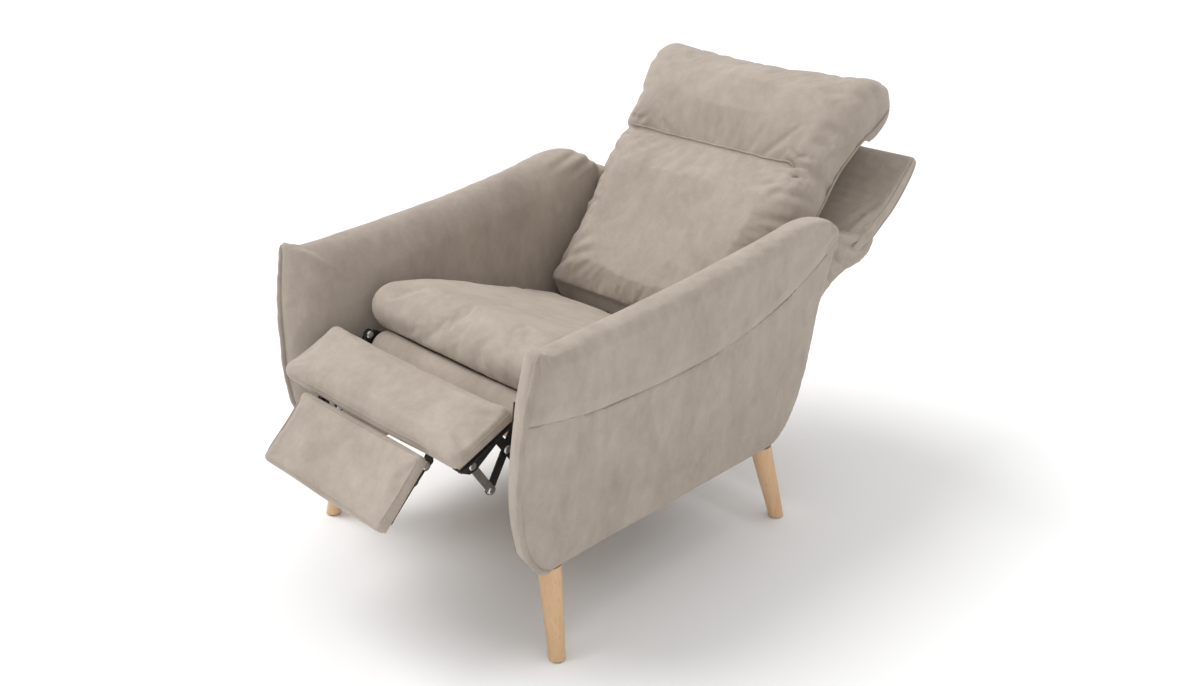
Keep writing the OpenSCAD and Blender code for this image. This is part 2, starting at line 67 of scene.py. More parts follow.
chairPlace = Matrix.Translation((0, 0, underArms))
armPlace = Matrix.Translation((armX, 0, underArms)) @ Matrix.Rotation(armLean, 4, "Y")
seatPlace = tilted(-0.130, 0.194, -19.5)
backPlace = tilted(0.185, 0.167, -41)
footrestPlace = tilted(-0.436, 0.314, 22)
flapHinge = Matrix.Translation((0, -0.156, -0.020))
flapPlace = footrestPlace @ flapHinge @ Matrix.Rotation(math.radians(24), 4, "X")


def newFinish(name):
    finish = bpy.data.materials.new(name)
    finish.use_nodes = True
    tree = finish.node_tree
    return finish, tree, tree.nodes["Principled BSDF"]


def addNode(tree, kind, inputs=None, **settings):
    node = tree.nodes.new(kind)
    for key, value in settings.items():
        setattr(node, key, value)
    for key, value in (inputs or {}).items():
        node.inputs[key].default_value = value
    return node


def stretchedCoords(tree, scale):
    coords = addNode(tree, "ShaderNodeTexCoord")
    mapping = addNode(tree, "ShaderNodeMapping", {"Scale": scale})
    tree.links.new(coords.outputs["Object"], mapping.inputs["Vector"])
    return mapping.outputs["Vector"]


def colourRamp(tree, factor, stops):
    ramp = addNode(tree, "ShaderNodeValToRGB")
    while len(ramp.color_ramp.elements) < len(stops):
        ramp.color_ramp.elements.new(0.5)
    for element, (position, colour) in zip(ramp.color_ramp.elements, stops):
        element.position = position
        element.color = (*colour, 1)
    tree.links.new(factor, ramp.inputs["Fac"])
    return ramp.outputs["Color"]


def mixColours(tree, factor, one, other, blend="MIX"):
    mix = addNode(tree, "ShaderNodeMix", {0: factor}, data_type="RGBA", blend_type=blend)
    tree.links.new(one, mix.inputs[6])
    tree.links.new(other, mix.inputs[7])
    return mix.outputs[2]


def bumped(tree, shader, layers):
    normal = None
    for height, strength, distance in layers:
        bump = addNode(tree, "ShaderNodeBump", {"Strength": strength, "Distance": distance})
        tree.links.new(height, bump.inputs["Height"])
        if normal:
            tree.links.new(normal, bump.inputs["Normal"])
        normal = bump.outputs["Normal"]
    tree.links.new(normal, shader.inputs["Normal"])


microfibreLook = {
    "light": (0.480, 0.415, 0.357),
    "middle": (0.412, 0.352, 0.300),
    "dark": (0.332, 0.280, 0.238),
    "cloudSize": 9.0,             # clouds per metre
    "napSize": 34.0,
    "fibreSize": 950.0,
    "threadSize": 170.0,
    "roughness": 0.92,
    "gloss": 0.18,
    "sheen": 0.32,
    "sheenRoughness": 0.45,
    "sheenTint": (0.95, 0.88, 0.80, 1),
}


def microfibre(name, shade=1.0):
    look = microfibreLook
    finish, tree, shader = newFinish(name)
    slow = stretchedCoords(tree, (1.0, 1.0, 0.55))
    clouds = addNode(tree, "ShaderNodeTexNoise",
                     {"Scale": look["cloudSize"], "Detail": 5.0, "Roughness": 0.62, "Distortion": 0.5})
    nap = addNode(tree, "ShaderNodeTexNoise",
                  {"Scale": look["napSize"], "Detail": 6.0, "Roughness": 0.68, "Distortion": 0.25})
    fibre = addNode(tree, "ShaderNodeTexNoise", {"Scale": look["fibreSize"], "Detail": 2.0, "Roughness": 0.6})
    for texture in (clouds, nap, fibre):
        tree.links.new(slow, texture.inputs["Vector"])
    # a shade below 1 darkens every tone of the same fabric: painted shade, used for the sewn cords
    tones = [tuple(c * shade for c in look[tone]) for tone in ("dark", "middle", "light")]
    cloudy = colourRamp(tree, clouds.outputs["Fac"], [(0.30, tones[0]), (0.50, tones[1]), (0.72, tones[2])])
    brushed = colourRamp(tree, nap.outputs["Fac"], [(0.32, tones[0]), (0.52, tones[1]), (0.70, tones[2])])
    fuzz = colourRamp(tree, fibre.outputs["Fac"], [(0.3, (0.86, 0.86, 0.86)), (0.7, (1.0, 1.0, 1.0))])
    mixed = mixColours(tree, 0.42, cloudy, brushed)
    tree.links.new(mixColours(tree, 0.7, mixed, fuzz, "MULTIPLY"), shader.inputs["Base Color"])
    shader.inputs["Roughness"].default_value = look["roughness"]
    shader.inputs["Specular IOR Level"].default_value = look["gloss"]
    shader.inputs["Sheen Weight"].default_value = look["sheen"]
    shader.inputs["Sheen Roughness"].default_value = look["sheenRoughness"]
    shader.inputs["Sheen Tint"].default_value = look["sheenTint"]
    threadLook = {"Scale": look["threadSize"], "Distortion": 1.5, "Detail": 1.0}
    weave = [addNode(tree, "ShaderNodeTexWave", threadLook, bands_direction=way) for way in ("X", "Z")]
    straight = stretchedCoords(tree, (1.0, 1.0, 1.0))
    for threads in weave:
        tree.links.new(straight, threads.inputs["Vector"])
    crossed = mixColours(tree, 0.5, weave[0].outputs["Color"], weave[1].outputs["Color"])
    bumped(tree, shader, [(nap.outputs["Fac"], 0.20, 0.004), (crossed, 0.10, 0.0006),
                          (fibre.outputs["Fac"], 0.25, 0.0006)])
    return finish


grain = {"rings": 26.0, "pores": 364.0, "stretch": 0.06}


def grainedWood(name, light, dark, along, rough):
    finish, tree, shader = newFinish(name)
    across = tuple(1.0 if axis != along else grain["stretch"] for axis in "XYZ")
    coords = stretchedCoords(tree, across)
    figure = addNode(tree, "ShaderNodeTexNoise",
                     {"Scale": grain["rings"], "Detail": 5.0, "Roughness": 0.55, "Distortion": 0.6})
    fine = addNode(tree, "ShaderNodeTexNoise", {"Scale": grain["pores"], "Detail": 3.0, "Roughness": 0.6})
    for texture in (figure, fine):
        tree.links.new(coords, texture.inputs["Vector"])
    broad = colourRamp(tree, figure.outputs["Fac"], [(0.30, dark), (0.62, light)])
    pores = colourRamp(tree, fine.outputs["Fac"], [(0.30, (0.80, 0.76, 0.70)), (0.46, (1.0, 1.0, 1.0))])
    tree.links.new(mixColours(tree, 0.75, broad, pores, "MULTIPLY"), shader.inputs["Base Color"])
    shader.inputs["Roughness"].default_value = rough
    bumped(tree, shader, [(fine.outputs["Fac"], 0.15, 0.0006)])
    return finish


def coatedMetal(name, colour, metallic, rough, speckle):
    finish, tree, shader = newFinish(name)
    coords = stretchedCoords(tree, (1.0, 1.0, 1.0))
    wear = addNode(tree, "ShaderNodeTexNoise", {"Scale": 45.0, "Detail": 5.0, "Roughness": 0.6})
    peel = addNode(tree, "ShaderNodeTexNoise", {"Scale": 600.0, "Detail": 2.0})
    for texture in (wear, peel):
        tree.links.new(coords, texture.inputs["Vector"])
    dull = tuple(c * 0.72 for c in colour)
    tree.links.new(colourRamp(tree, wear.outputs["Fac"], [(0.35, dull), (0.65, colour)]),
                   shader.inputs["Base Color"])
    roughness = addNode(tree, "ShaderNodeMapRange", {"To Min": rough - 0.08, "To Max": rough + 0.10})
    tree.links.new(wear.outputs["Fac"], roughness.inputs["Value"])
    tree.links.new(roughness.outputs["Result"], shader.inputs["Roughness"])
    shader.inputs["Metallic"].default_value = metallic
    bumped(tree, shader, [(peel.outputs["Fac"], speckle, 0.0004)])
    return finish


def strapWebbing(name):
    finish, tree, shader = newFinish(name)
    coords = stretchedCoords(tree, (1.0, 1.0, 1.0))
    threads = addNode(tree, "ShaderNodeTexWave", {"Scale": 150.0, "Distortion": 0.6},
                      bands_direction="DIAGONAL")
    tree.links.new(coords, threads.inputs["Vector"])
    yarn = [(0.2, (0.020, 0.018, 0.017)), (0.8, (0.060, 0.053, 0.048))]
    tree.links.new(colourRamp(tree, threads.outputs["Fac"], yarn), shader.inputs["Base Color"])
    shader.inputs["Roughness"].default_value = 0.85
    bumped(tree, shader, [(threads.outputs["Fac"], 0.4, 0.0005)])
    return finish


taupe = microfibre("taupe microfibre")
# the welt, piping and seam cords are the same microfibre made 7% darker: painted shade along the sewn lines
shadedWeltTaupe = microfibre("taupe microfibre welt, painted shade", 0.93)
finishes = {
    "upholstery": taupe,
    "leg_wood": grainedWood("lacquered beech", (0.690, 0.462, 0.268), (0.600, 0.375, 0.200), "Z", 0.38),
    "frame_wood": grainedWood("planed pine", (0.640, 0.450, 0.262), (0.520, 0.340, 0.180), "X", 0.62),
    "plywood": grainedWood("sanded plywood", (0.600, 0.425, 0.250), (0.490, 0.325, 0.175), "Y", 0.65),
    "black_steel": coatedMetal("black powder coat", (0.018, 0.018, 0.019), 0.0, 0.42, 0.25),
    "zinc_steel": coatedMetal("bright zinc", (0.62, 0.63, 0.65), 1.0, 0.30, 0.08),
    "webbing": strapWebbing("woven webbing"),
    "glide": coatedMetal("grey nylon glide", (0.13, 0.13, 0.13), 0.0, 0.55, 0.3),
}
for part in frame["record"]["subparts"]:
    for materialSlot in nodes[part["node"]].material_slots:
        materialSlot.link = "OBJECT"
        materialSlot.material = finishes[part["material_slot"]]
print("finishes mixed")


def curvePoints(a, b, c, d, count):
    steps = np.arange(count)[:, None] / count
    a, b, c, d = (np.array(p, float) for p in (a, b, c, d))
    left = 1 - steps
    return left ** 3 * a + 3 * left ** 2 * steps * b + 3 * left * steps ** 2 * c + steps ** 3 * d


def evenLoop(points, spacing, closed=True):
    line = np.vstack([points, points[:1]]) if closed else np.asarray(points, float)
    lengths = np.concatenate([[0], np.cumsum(np.linalg.norm(np.diff(line, axis=0), axis=1))])
    count = max(int(lengths[-1] / spacing), 3)
    if closed:
        marks = np.linspace(0, lengths[-1], count, endpoint=False)
    else:
        marks = np.linspace(0, lengths[-1], count + 1)
    return np.stack([np.interp(marks, lengths, line[:, k]) for k in range(line.shape[1])], 1)


def insetLoop(loop, inset):
    after, before = np.roll(loop, -1, 0), np.roll(loop, 1, 0)
    area = np.sum(loop[:, 0] * after[:, 1] - after[:, 0] * loop[:, 1])
    along = after - before
    along /= np.linalg.norm(along, axis=1)[:, None] + 1e-12
    inward = np.stack([-along[:, 1], along[:, 0]], 1) * (1 if area > 0 else -1)
    return loop + inward * np.reshape(inset, (-1, 1))


def shrunkLoop(loop, inset):
    low, high = loop.min(0), loop.max(0)
    middle, size = (low + high) / 2, high - low
    return middle + (loop - middle) * (size - 2 * inset) / size


def newPiece(name, verts, faces, finish):
    mesh = bpy.data.meshes.new(name)
    mesh.from_pydata([tuple(v) for v in verts], [], faces)
    mesh.materials.append(finish)
    piece = bpy.data.objects.new(name, mesh)
    bpy.context.scene.collection.objects.link(piece)
    build = bmesh.new()
    build.from_mesh(mesh)
    bmesh.ops.recalc_face_normals(build, faces=build.faces)
    build.to_mesh(mesh)
    build.free()
    mesh.shade_smooth()
    return piece


def stackedLoops(name, rings, place, finish):
    # rings are (x, loop of [y, z]) from one end to the other, closed by a face at each end
    count = len(rings[0][1])
    verts = [place @ Vector((x, p[0], p[1])) for x, loop in rings for p in loop]
    faces = []
    for ring in range(len(rings) - 1):
        a, b = ring * count, (ring + 1) * count
        faces += [(a + k, a + (k + 1) % count, b + (k + 1) % count, b + k) for k in range(count)]
    faces.append(tuple(range(count))[::-1])
    faces.append(tuple((len(rings) - 1) * count + k for k in range(count)))
    return newPiece(name, verts, faces, finish)


def roundedEnds(loop, halfWidth, radius, steps=6):
    # a loop carried across the chair, drawn in at both ends by a quarter circle
    ends = []
    for k in range(steps + 1):
        angle = math.pi / 2 * k / steps
        x = -halfWidth + radius * (1 - math.sin(angle))
        ends.append((x, shrunkLoop(loop, radius * (1 - math.cos(angle)))))
    ends.reverse()
    middle = [(x, loop) for x in np.linspace(-halfWidth + radius, halfWidth - radius, 24)[1:-1]]
    return ends + middle + [(-x, ring) for x, ring in reversed(ends)]


def applyModifiers(piece):
    evaluated = piece.evaluated_get(bpy.context.evaluated_depsgraph_get())
    mesh = bpy.data.meshes.new_from_object(evaluated)
    piece.modifiers.clear()
    old = piece.data
    piece.data = mesh
    bpy.data.meshes.remove(old)
    mesh.shade_smooth()


def vertexArray(piece):
    flat = np.empty(len(piece.data.vertices) * 3)
    piece.data.vertices.foreach_get("co", flat)
    return flat.reshape(-1, 3)


def setVertices(piece, points):
    piece.data.vertices.foreach_set("co", np.asarray(points, float).ravel())
    piece.data.update()


def normalArray(piece):
    flat = np.empty(len(piece.data.vertices) * 3)
    piece.data.vertices.foreach_get("normal", flat)
    return flat.reshape(-1, 3)


def toLocal(points, place):
    inverse = np.array(place.inverted())
    return points @ inverse[:3, :3].T + inverse[:3, 3]


def toWorld(points, place):
    matrix = np.array(place)
    return points @ matrix[:3, :3].T + matrix[:3, 3]


def remeshed(piece, voxel, smoothing):
    remesh = piece.modifiers.new("voxels", "REMESH")
    remesh.mode = "VOXEL"
    remesh.voxel_size = voxel
    soften = piece.modifiers.new("soften", "SMOOTH")
    soften.factor = 0.5
    soften.iterations = smoothing
    applyModifiers(piece)


fabric = {"mass": 0.3, "stretch": 18, "shear": 8, "bend": 0.6, "quality": 5}


def puffed(piece, cap, pressure, held=None, looser=0.0, frames=20):
    # blows the cover up like a filled cushion and lets no point move further than cap
    start = vertexArray(piece)
    cloth = piece.modifiers.new("cover", "CLOTH")
    settings = cloth.settings
    settings.quality = fabric["quality"]
    settings.mass = fabric["mass"]
    settings.tension_stiffness = settings.compression_stiffness = fabric["stretch"]
    settings.shear_stiffness = fabric["shear"]
    settings.bending_stiffness = fabric["bend"]
    settings.use_pressure = True
    settings.uniform_pressure_force = pressure
    settings.shrink_min = -looser
    settings.effector_weights.gravity = 0
    cloth.collision_settings.use_collision = False
    cloth.point_cache.frame_start = 1
    cloth.point_cache.frame_end = frames
    if held is not None:
        group = piece.vertex_groups.new(name="held")
        for index in np.nonzero(held > 0.01)[0]:
            group.add([int(index)], float(held[index]), "REPLACE")
        settings.vertex_group_mass = "held"
    for step in range(1, frames + 1):
        bpy.context.scene.frame_set(step)
    applyModifiers(piece)
    piece.vertex_groups.clear()
    moved = vertexArray(piece) - start
    lengths = np.linalg.norm(moved, axis=1)
    limit = np.minimum(1, cap / np.maximum(lengths, 1e-9))
    setVertices(piece, start + moved * limit[:, None])
    bpy.context.scene.frame_set(1)


def subdivided(piece):
    finer = piece.modifiers.new("finer", "SUBSURF")
    finer.levels = finer.render_levels = 1
    applyModifiers(piece)


def distanceToLine(points, line):
    best = np.full(len(points), 1e9)
    where = np.zeros(len(points))
    lengths = np.linalg.norm(np.diff(line, axis=0), axis=1)
    total, run = lengths.sum(), 0.0
    for a, b, length in zip(line[:-1], line[1:], lengths):
        t = np.clip((points - a) @ (b - a) / max(length ** 2, 1e-12), 0, 1)
        d = np.linalg.norm(points - (a + t[:, None] * (b - a)), axis=1)
        closer = d < best
        best[closer] = d[closer]
        where[closer] = ((run + t * length) / total)[closer]
        run += length
    return best, where


def surfaceOf(piece):
    points = [v.co.copy() for v in piece.data.vertices]
    return BVHTree.FromPolygons(points, [tuple(f.vertices) for f in piece.data.polygons])


def creased(piece, place, lines):
    # each line is (points, width, depth): a soft valley with a low shoulder on both sides
    points, normals = vertexArray(piece), normalArray(piece)
    local = toLocal(points, place)
    shift = np.zeros(len(points))
    tree = surfaceOf(piece)
    for path, width, depth in lines:
        path = evenLoop(np.array(path, float), 0.008, closed=False)
        spots = [tuple(tree.find_nearest(place @ Vector(p))[0]) for p in path]
        path = toLocal(np.array(spots), place)
        near = np.all((local > path.min(0) - 4 * width) & (local < path.max(0) + 4 * width), axis=1)
        distance, along = distanceToLine(local[near], path)
        fade = np.clip(np.sin(math.pi * np.clip(along, 0.02, 0.98)), 0, 1) ** 0.6
        valley = np.exp(-(distance / width) ** 2)
        shoulders = 0.45 * np.exp(-((distance - 2.1 * width) / width) ** 2)
        shift[near] += depth * fade * (shoulders - valley)
    setVertices(piece, points + normals * shift[:, None])


def rippled(piece, size, height, seed):
    # the slight unevenness of a stretched cover
    points, normals = vertexArray(piece), normalArray(piece)
    chance = np.random.default_rng(seed)
    shift = np.zeros(len(points))
    for _ in range(14):
        wave = chance.normal(size=3) / size
        shift += np.sin(points @ wave * 2 + chance.uniform(0, 6.28)) * chance.uniform(0.4, 1.0)
    setVertices(piece, points + normals * (shift * height / 5)[:, None])


def laidOn(piece, path, lift):
    # the path's points moved onto the piece's surface, and out from it by lift
    tree = surfaceOf(piece)
    found = []
    for point in path:
        spot, normal, _, _ = tree.find_nearest(Vector(point))
        found.append(tuple(spot + normal * lift))
    return [Vector(p) for p in evened(np.array(found))]


def evened(path, rounds=4):
    # takes the small waves out of a sewn line
    for _ in range(rounds):
        path[1:-1] = (path[:-2] + 2 * path[1:-1] + path[2:]) / 4
    return path


def cordAlong(name, path, radius, finish, closed=False):
    # a round cord whose ends taper away
    path = [Vector(p) for p in path]
    count, sides = len(path), 10
    verts, faces = [], []
    up = Vector((0.3, 0.2, 1)).normalized()
    for k, point in enumerate(path):
        before = path[k - 1] if (k or closed) else point
        after = path[(k + 1) % count] if (k < count - 1 or closed) else point
        along = (after - before).normalized()
        across = (up - along * up.dot(along)).normalized()
        up = across
        other = along.cross(across)
        size = radius
        if not closed:
            size *= min(1.0, 0.25 + 0.75 * math.sin(math.pi / 2 * min(1.0, min(k, count - 1 - k) / 3)))
        for s in range(sides):
            angle = 2 * math.pi * s / sides
            verts.append(point + across * math.cos(angle) * size + other * math.sin(angle) * size)
    for k in range(count if closed else count - 1):
        a, b = k * sides, ((k + 1) % count) * sides
        faces += [(a + s, a + (s + 1) % sides, b + (s + 1) % sides, b + s) for s in range(sides)]
    if not closed:
        faces += [tuple(range(sides))[::-1], tuple((count - 1) * sides + s for s in range(sides))]
    return newPiece(name, verts, faces, finish)


def mirrored(piece, name):
    twin = piece.copy()
    twin.data = piece.data.copy()
    twin.name = twin.data.name = name
    bpy.context.scene.collection.objects.link(twin)
    points = vertexArray(twin)
    setVertices(twin, points * (-1, 1, 1))
    twin.data.flip_normals()
    return twin


def upholstered(piece, body, stands=()):
    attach(piece, body)
    if stands:
        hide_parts(*stands)


def trimmed(piece, body):
    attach(piece, body)


arm = {
    "thick": 0.074,
    "front": -0.505,
    "rear": 0.352,
    "top": armHeight + 0.033,
    "innerRound": 0.068,          # the padding rolls over from the outer edge to the inner face
    "outerRound": 0.009,
    "panelSink": 0.0070,
    "weltRadius": 0.0058,
    "voxel": 0.0060,
}


def armSide():
    h, top = armHeight, arm["top"]
    pieces = [
        curvePoints((-0.420, 0), (-0.468, 0), (arm["front"], 0.090), (arm["front"], 0.190), 30),
        curvePoints((arm["front"], 0.190), (arm["front"], 0.300), (-0.487, 0.390), (-0.473, h), 30),
        curvePoints((-0.473, h), (-0.462, h - 0.006), (-0.452, h - 0.013), (-0.430, h - 0.013), 8),
        curvePoints((-0.430, h - 0.013), (-0.250, h - 0.006), (-0.050, h + 0.004), (0.150, top), 30),
        curvePoints((0.150, top), (0.230, top + 0.011), (0.318, top + 0.018), (arm["rear"], top - 0.038), 24),
        curvePoints((arm["rear"], top - 0.038), (0.340, 0.380), (0.322, 0.330), (0.316, 0.270), 20),
        curvePoints((0.316, 0.270), (0.312, 0.180), (0.296, 0), (0.200, 0), 30),
    ]
    return np.vstack(pieces)


def bandSeam(count=60):
    return np.vstack([curvePoints((-0.540, 0.348), (-0.430, 0.303), (-0.290, 0.292), (-0.130, 0.296), count),
                      curvePoints((-0.130, 0.296), (0.050, 0.301), (0.235, 0.330), (0.372, 0.470), count)])


def seamHeight(y):
    seam = bandSeam()
    return np.interp(y, seam[:, 0], seam[:, 1])


def rolledIn(side, depth):
    # the outline at a depth behind the outer face: the front and top roll in, the underside hardly does
    roll = arm["innerRound"]
    lost = roll - math.sqrt(max(roll ** 2 - min(max(depth - arm["thick"] + roll, 0), roll) ** 2, 0))
    low = np.clip(side[:, 1] / 0.075, 0, 1)
    rear = np.clip((side[:, 0] - 0.20) / 0.15, 0, 1)
    front = np.clip((-0.400 - side[:, 0]) / 0.070, 0, 1) * low
    top = np.clip((side[:, 1] - 0.34) / 0.08, 0, 1) * (1 - 0.6 * rear)
    return side + lost * np.stack([front, -top * 0.85], 1)


def armPiece():
    side = evenLoop(armSide(), 0.008)
    crisp = np.clip((side[:, 0] + 0.43) / 0.05, 0, 1)          # 0 along the welted front edge
    outer = arm["outerRound"] * (0.15 + 0.85 * crisp)
    rings = [(x, insetLoop(side, outer * (1 - math.cos(math.radians(angle)))))
             for x, angle in ((0, 90), (-0.0015, 60), (-0.004, 36))]
    rings += [(-depth, rolledIn(side, depth)) for depth in np.linspace(0.008, arm["thick"], 16)]
    piece = stackedLoops("arm_left", rings, armPlace, taupe)
    remeshed(piece, arm["voxel"], 3)
    points = toLocal(vertexArray(piece), armPlace)
    outside = points[:, 0] > -0.02
    below = seamHeight(points[:, 1]) - points[:, 2]
    flat = points * (0, 1, 1)
    edge = np.clip((distanceToLine(flat, np.c_[np.zeros(len(side)), side])[0] - 0.004) / 0.006, 0, 1)
    sink = np.clip((below + 0.002) / 0.007, 0, 1)
    sink = sink * sink * (3 - 2 * sink) * edge
    roll = np.exp(-((below + 0.014) / 0.012) ** 2) * 0.0022
    points[:, 0] += np.where(outside, roll - sink * arm["panelSink"], 0)
    setVertices(piece, toWorld(points, armPlace))
    fixed = np.clip(1 - np.abs(below) / 0.012, 0, 1) * outside
    fixed = np.maximum(fixed, points[:, 2] < 0.012)
    puffed(piece, 0.006, pressure=1.5, held=fixed, frames=12)
    subdivided(piece)
    rippled(piece, 0.11, 0.0016, 11)
    corner = [(-0.006, -0.468, armHeight - 0.022), (-0.018, -0.458, armHeight - 0.016),
              (-0.032, -0.440, armHeight - 0.016)]
    creased(piece, armPlace, [
        (corner, 0.0040, 0.0030),
        ([(-0.070, 0.20, 0.47), (-0.055, 0.28, 0.485), (-0.02, 0.33, 0.47)], 0.008, 0.003),
        ([(-0.072, 0.24, 0.44), (-0.068, 0.30, 0.46), (-0.03, 0.345, 0.44)], 0.007, 0.003),
        ([(0.0, 0.29, 0.43), (-0.004, 0.325, 0.448), (-0.02, 0.345, 0.45)], 0.006, 0.0025),
    ])
    return piece


def panelPiece():
    side = evenLoop(armSide(), 0.006)
    below = side[side[:, 1] < seamHeight(side[:, 0]) - 0.002]
    seam = bandSeam(80)
    start = np.argmax(np.linalg.norm(np.diff(np.vstack([below, below[:1]]), axis=0), axis=1))
    below = np.roll(below, -(start + 1), axis=0)
    low, high = sorted((below[0, 0], below[-1, 0]))
    line = seam[(seam[:, 0] > low) & (seam[:, 0] < high)]
    if abs(below[-1, 0] - line[0, 0]) > abs(below[-1, 0] - line[-1, 0]):
        line = line[::-1]
    loop = evenLoop(np.vstack([below, line - (0, 0.002)]), 0.007)
    rings = [(x, insetLoop(loop, inset)) for x, inset in
             ((-0.009, 0.003), (-0.006, 0.0022), (-0.0045, 0.0022), (-0.0034, 0.0034), (-0.0028, 0.007),
              (-0.0024, 0.020))]
    piece = stackedLoops("side_panel_left", rings, armPlace, taupe)
    remeshed(piece, 0.0045, 1)
    rippled(piece, 0.10, 0.0008, 5)
    return piece


def weltPath(piece):
    # along the real front edge, found by looking back at the arm from in front of it
    tree = surfaceOf(piece)
    front = evenLoop(armSide()[:61], 0.008, closed=False)       # its first two curves
    after = np.gradient(front, axis=0)
    after /= np.linalg.norm(after, axis=1)[:, None]
    path = []
    for point, step in zip(front, after):
        outward = (armPlace.to_3x3() @ Vector((0, -step[1], step[0]))).normalized()
        start = armPlace @ Vector((-0.0045, point[0], point[1])) + outward * 0.05
        hit = tree.ray_cast(start, -outward, 0.09)[0]
        if hit:
            path.append(hit + outward * 0.0012)
    return path


armLeft = armPiece()
armRight = mirrored(armLeft, "arm_right")
panelLeft = panelPiece()
panelRight = mirrored(panelLeft, "side_panel_right")
weltLeft = cordAlong("arm_welt_left", weltPath(armLeft), arm["weltRadius"], shadedWeltTaupe)
weltRight = mirrored(weltLeft, "arm_welt_right")
for piece, side in ((armLeft, "left"), (armRight, "right")):
    upholstered(piece, "base", ("arm_" + side,))
for piece, side in ((panelLeft, "left"), (panelRight, "right")):
    upholstered(piece, "base", ("side_panel_" + side,))
for piece in (weltLeft, weltRight):
    trimmed(piece, "base")
print("arms covered")


seat = {
    "halfWidth": 0.263,
    "thick": 0.105,
    "rear": 0.245,
    "noseStart": -0.222,
    "endRound": 0.036,
    "slack": 0.006,               # how much smaller it starts before it is filled
}


def seatProfile():
    t, rear, nose, slack = seat["thick"], seat["rear"], seat["noseStart"], seat["slack"]
    return evenLoop(np.vstack([
        [(rear - 0.006 - slack, 0.004)],
        curvePoints((nose, 0.004), (nose - 0.062, 0.008), (nose - 0.064, t - 0.010), (nose, t - slack), 30),
        [(nose + 0.072, t + 0.002 - slack), (0, t + 0.001 - slack), (rear - 0.024, t - 0.002 - slack),
         (rear - slack, t - 0.020)],
    ]), 0.012)


def seatPiece():
    rings = roundedEnds(seatProfile(), seat["halfWidth"] - seat["slack"], seat["endRound"])
    piece = stackedLoops("seat_cushion", rings, seatPlace, taupe)
    remeshed(piece, 0.0060, 6)
    local = toLocal(vertexArray(piece), seatPlace)
    held = np.clip((0.010 - local[:, 2]) / 0.004, 0, 1)
    puffed(piece, 0.016, pressure=3.0, held=held, looser=0.01)
    local = toLocal(vertexArray(piece), seatPlace)
    local[:, 0] = np.clip(local[:, 0], -seat["halfWidth"] - 0.001, seat["halfWidth"] + 0.001)
    local[:, 2] = np.maximum(local[:, 2], 0.0032)
    setVertices(piece, toWorld(local, seatPlace))
    subdivided(piece)
    rippled(piece, 0.12, 0.0022, 3)
    creased(piece, seatPlace, [
        ([(0.255, 0.05, 0.09), (0.235, 0.12, 0.104), (0.17, 0.17, 0.106)], 0.010, 0.0030),
        ([(-0.255, 0.02, 0.09), (-0.225, 0.09, 0.104), (-0.15, 0.13, 0.106)], 0.010, 0.0030),
        ([(0.258, -0.14, 0.07), (0.245, -0.10, 0.098), (0.20, -0.07, 0.105)], 0.010, 0.0020),
    ])
    return piece


def frontPadPiece():
    front = -0.2325
    profile = evenLoop(np.vstack([
        [(front, -0.058), (front + 0.004, 0.0042)],
        curvePoints((front - 0.002, 0.0052), (-0.262, 0.0048), (-0.274, -0.024), (-0.269, -0.056), 16),
        [(-0.266, -0.060), (-0.250, -0.0615)],
    ]), 0.006)
    piece = stackedLoops("front_pad", roundedEnds(profile, 0.2135, 0.010), seatPlace, taupe)
    remeshed(piece, 0.0042, 2)
    puffed(piece, 0.003, pressure=1.5, frames=10)
    subdivided(piece)
    rippled(piece, 0.07, 0.0012, 8)
    return piece


seatCushion = seatPiece()
upholstered(seatCushion, "seat", ("seat_cushion",))
frontPad = frontPadPiece()
upholstered(frontPad, "seat", ("front_pad",))
print("seat filled")


back = {
    "halfWidth": 0.278,
    "thick": 0.116,
    "rear": 0.002,
    "length": 0.668,
    "headSeam": 0.420,
    "endRound": 0.034,
    "slack": 0.010,
    "earSize": 0.016,
    "flare": 0.024,
    "pipingRadius": 0.0030,
    # lowest place of the cover at each y, so that it clears the seat over the whole travel
    "seatClear": ((-0.130, -0.088, -0.078, -0.060, -0.040), (0.0190, 0.0215, 0.0200, 0.0060, -0.010)),
    # folds under each end of the head seam: reach, drop, width, depth
    "fan": ((0.110, 0.012, 0.0065, 0.0034), (0.100, 0.034, 0.0075, 0.0040),
            (0.080, 0.062, 0.0085, 0.0040), (0.050, 0.085, 0.0085, 0.0030)),
    # short tucks over the seam's ends: start, reach, rise
    "tucks": ((0.226, 0.030, 0.034), (0.246, 0.012, 0.040)),
    # slack in the lower corners: reach, rise
    "slackFolds": ((0.110, 0.050), (0.080, 0.085), (0.045, 0.120)),
    # pulls along the side piping: height, reach
    "pulls": ((0.155, 0.05), (0.235, 0.06), (0.300, 0.045), (0.360, 0.055), (0.520, 0.045), (0.600, 0.05)),
}


def backProfile():
    rear, top, slack = back["rear"], back["length"], back["slack"]
    front = rear - back["thick"] + slack
    return evenLoop(np.vstack([
        [(rear - 0.030, 0.000), (rear, 0.056), (rear, 0.566), (0.040, 0.574), (0.048, top - 0.048)],
        curvePoints((0.048, top - 0.036), (0.050, top - 0.002), (-0.008, top + 0.004), (-0.046, top), 14),
        curvePoints((-0.046, top), (-0.088, top - 0.006), (front, top - 0.046), (front, top - 0.112), 20),
        [(front, 0.30)],
        curvePoints((front, 0.050), (front, 0.022), (-0.104, 0.013), (-0.084, 0.013), 14),
        [(-0.084, 0.013), (-0.062, 0.003)],
    ]), 0.012)


def narrowed(z):
    # half width of the cushion up its length: its head flares out
    head = np.clip((z - 0.44) / 0.20, 0, 1)
    waist = back["halfWidth"] - 0.026 * np.clip(1 - z / 0.330, 0, 1)
    return waist + back["flare"] * head * head * (3 - 2 * head)


